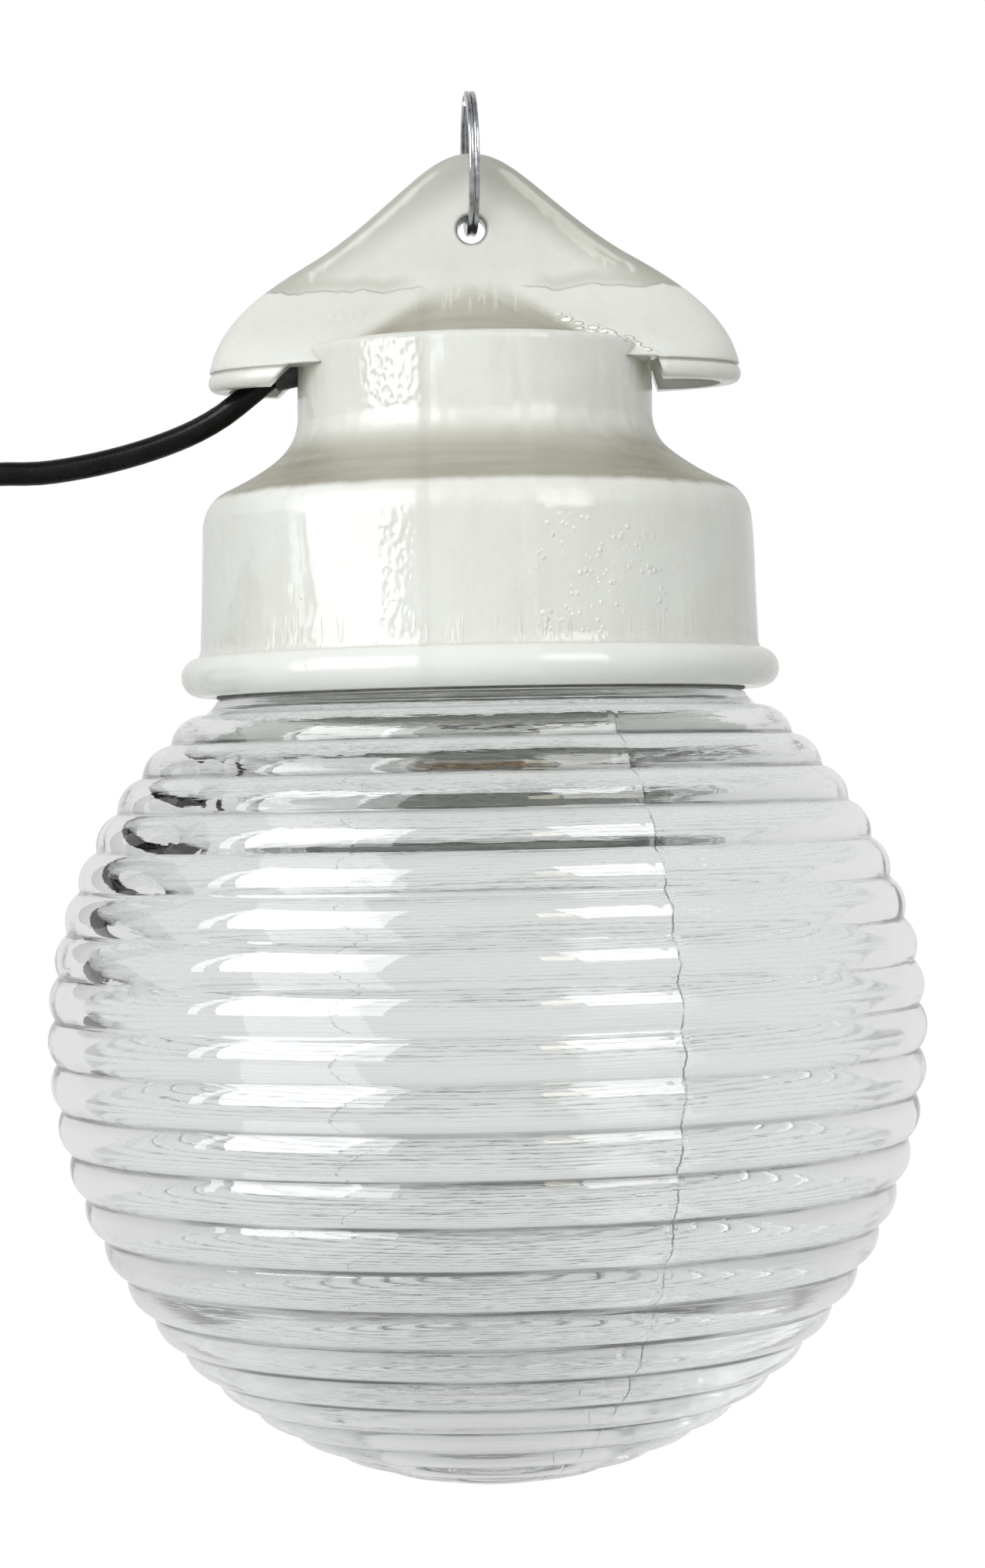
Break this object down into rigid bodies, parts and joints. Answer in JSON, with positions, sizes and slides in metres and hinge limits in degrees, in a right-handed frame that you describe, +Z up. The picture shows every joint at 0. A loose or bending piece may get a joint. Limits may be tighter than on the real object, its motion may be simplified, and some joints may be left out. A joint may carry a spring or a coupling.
{
  "type": "industrial pendant lamp",
  "caption": "Porcelain pendant lamp with a winged hood, a ribbed screw-in glass globe, an E27 lampholder, a split hanging ring and a cord.",
  "frame": {"origin": "the inner top of the hanging ring, where it rests on the hook that carries the lamp", "axes": "+Z up, +X along the hood from wing to wing, with the cord on the -X side, +Y from front to back"},
  "size_m": [0.1942, 0.16, 0.2529],
  "materials": {
    "porcelain": "gloss",
    "insulator": "satin",
    "clear_glass": "gloss",
    "ring_steel": "polished",
    "brass": "satin",
    "zinc_steel": "satin",
    "tinned": "satin",
    "black_rubber": "satin",
    "grey_rubber": "matte",
    "cord_black": "gloss",
    "tie_black": "satin",
    "core_brown": "satin",
    "core_blue": "satin"
  },
  "bodies": {
    "ring": {"hanging_ring": "ring_steel"},
    "lamp": {"porcelain_body": "porcelain", "holder_body": "insulator", "screw_shell": "brass", "contact_foot": "brass", "line_rivet": "brass", "neutral_rivet": "brass", "line_terminal": "brass", "neutral_terminal": "brass", "terminal_screws": "zinc_steel", "holder_screws": "zinc_steel", "holder_nuts": "zinc_steel", "holder_washers": "zinc_steel", "cable_grommet": "black_rubber", "entry_plug": "grey_rubber", "sheath_tie": "tie_black", "cord_inner": "cord_black", "line_core": "core_brown", "neutral_core": "core_blue", "core_ferrules": "tinned", "cord_free": "cord_black", "cord_coil": "cord_black", "coil_tie": "tie_black", "end_line_core": "core_brown", "end_neutral_core": "core_blue", "end_ferrules": "tinned"},
    "contact": {"contact_leaf": "brass"},
    "gasket": {"glass_gasket": "grey_rubber"},
    "glass": {"glass_globe": "clear_glass"}
  },
  "joints": [
    {"name": "lamp_swing", "type": "hinge", "parent": "ring", "child": "lamp", "pos_m": [0, 0, -0.02347], "axis": [0, 1, 0], "range_deg": [-75, 75]},
    {"name": "contact_press", "type": "hinge", "parent": "lamp", "child": "contact", "pos_m": [-0.0049, 0, -0.06842], "axis": [0, -1, 0], "range_deg": [0, 12], "stiffness_Nm_per_rad": 0.025},
    {"name": "glass_drop", "type": "slide", "parent": "lamp", "child": "gasket", "axis": [0, 0, -1], "range_m": [0, 0.0195]},
    {"name": "glass_turn", "type": "hinge", "parent": "gasket", "child": "glass", "pos_m": [0, 0, -0.1695], "axis": [0, 0, -1], "range_deg": [0, 1080]}
  ],
  "couplings": [
    {"joint": "glass_drop", "follows": "glass_turn", "m_per_rad": 0.0010106}
  ]
}
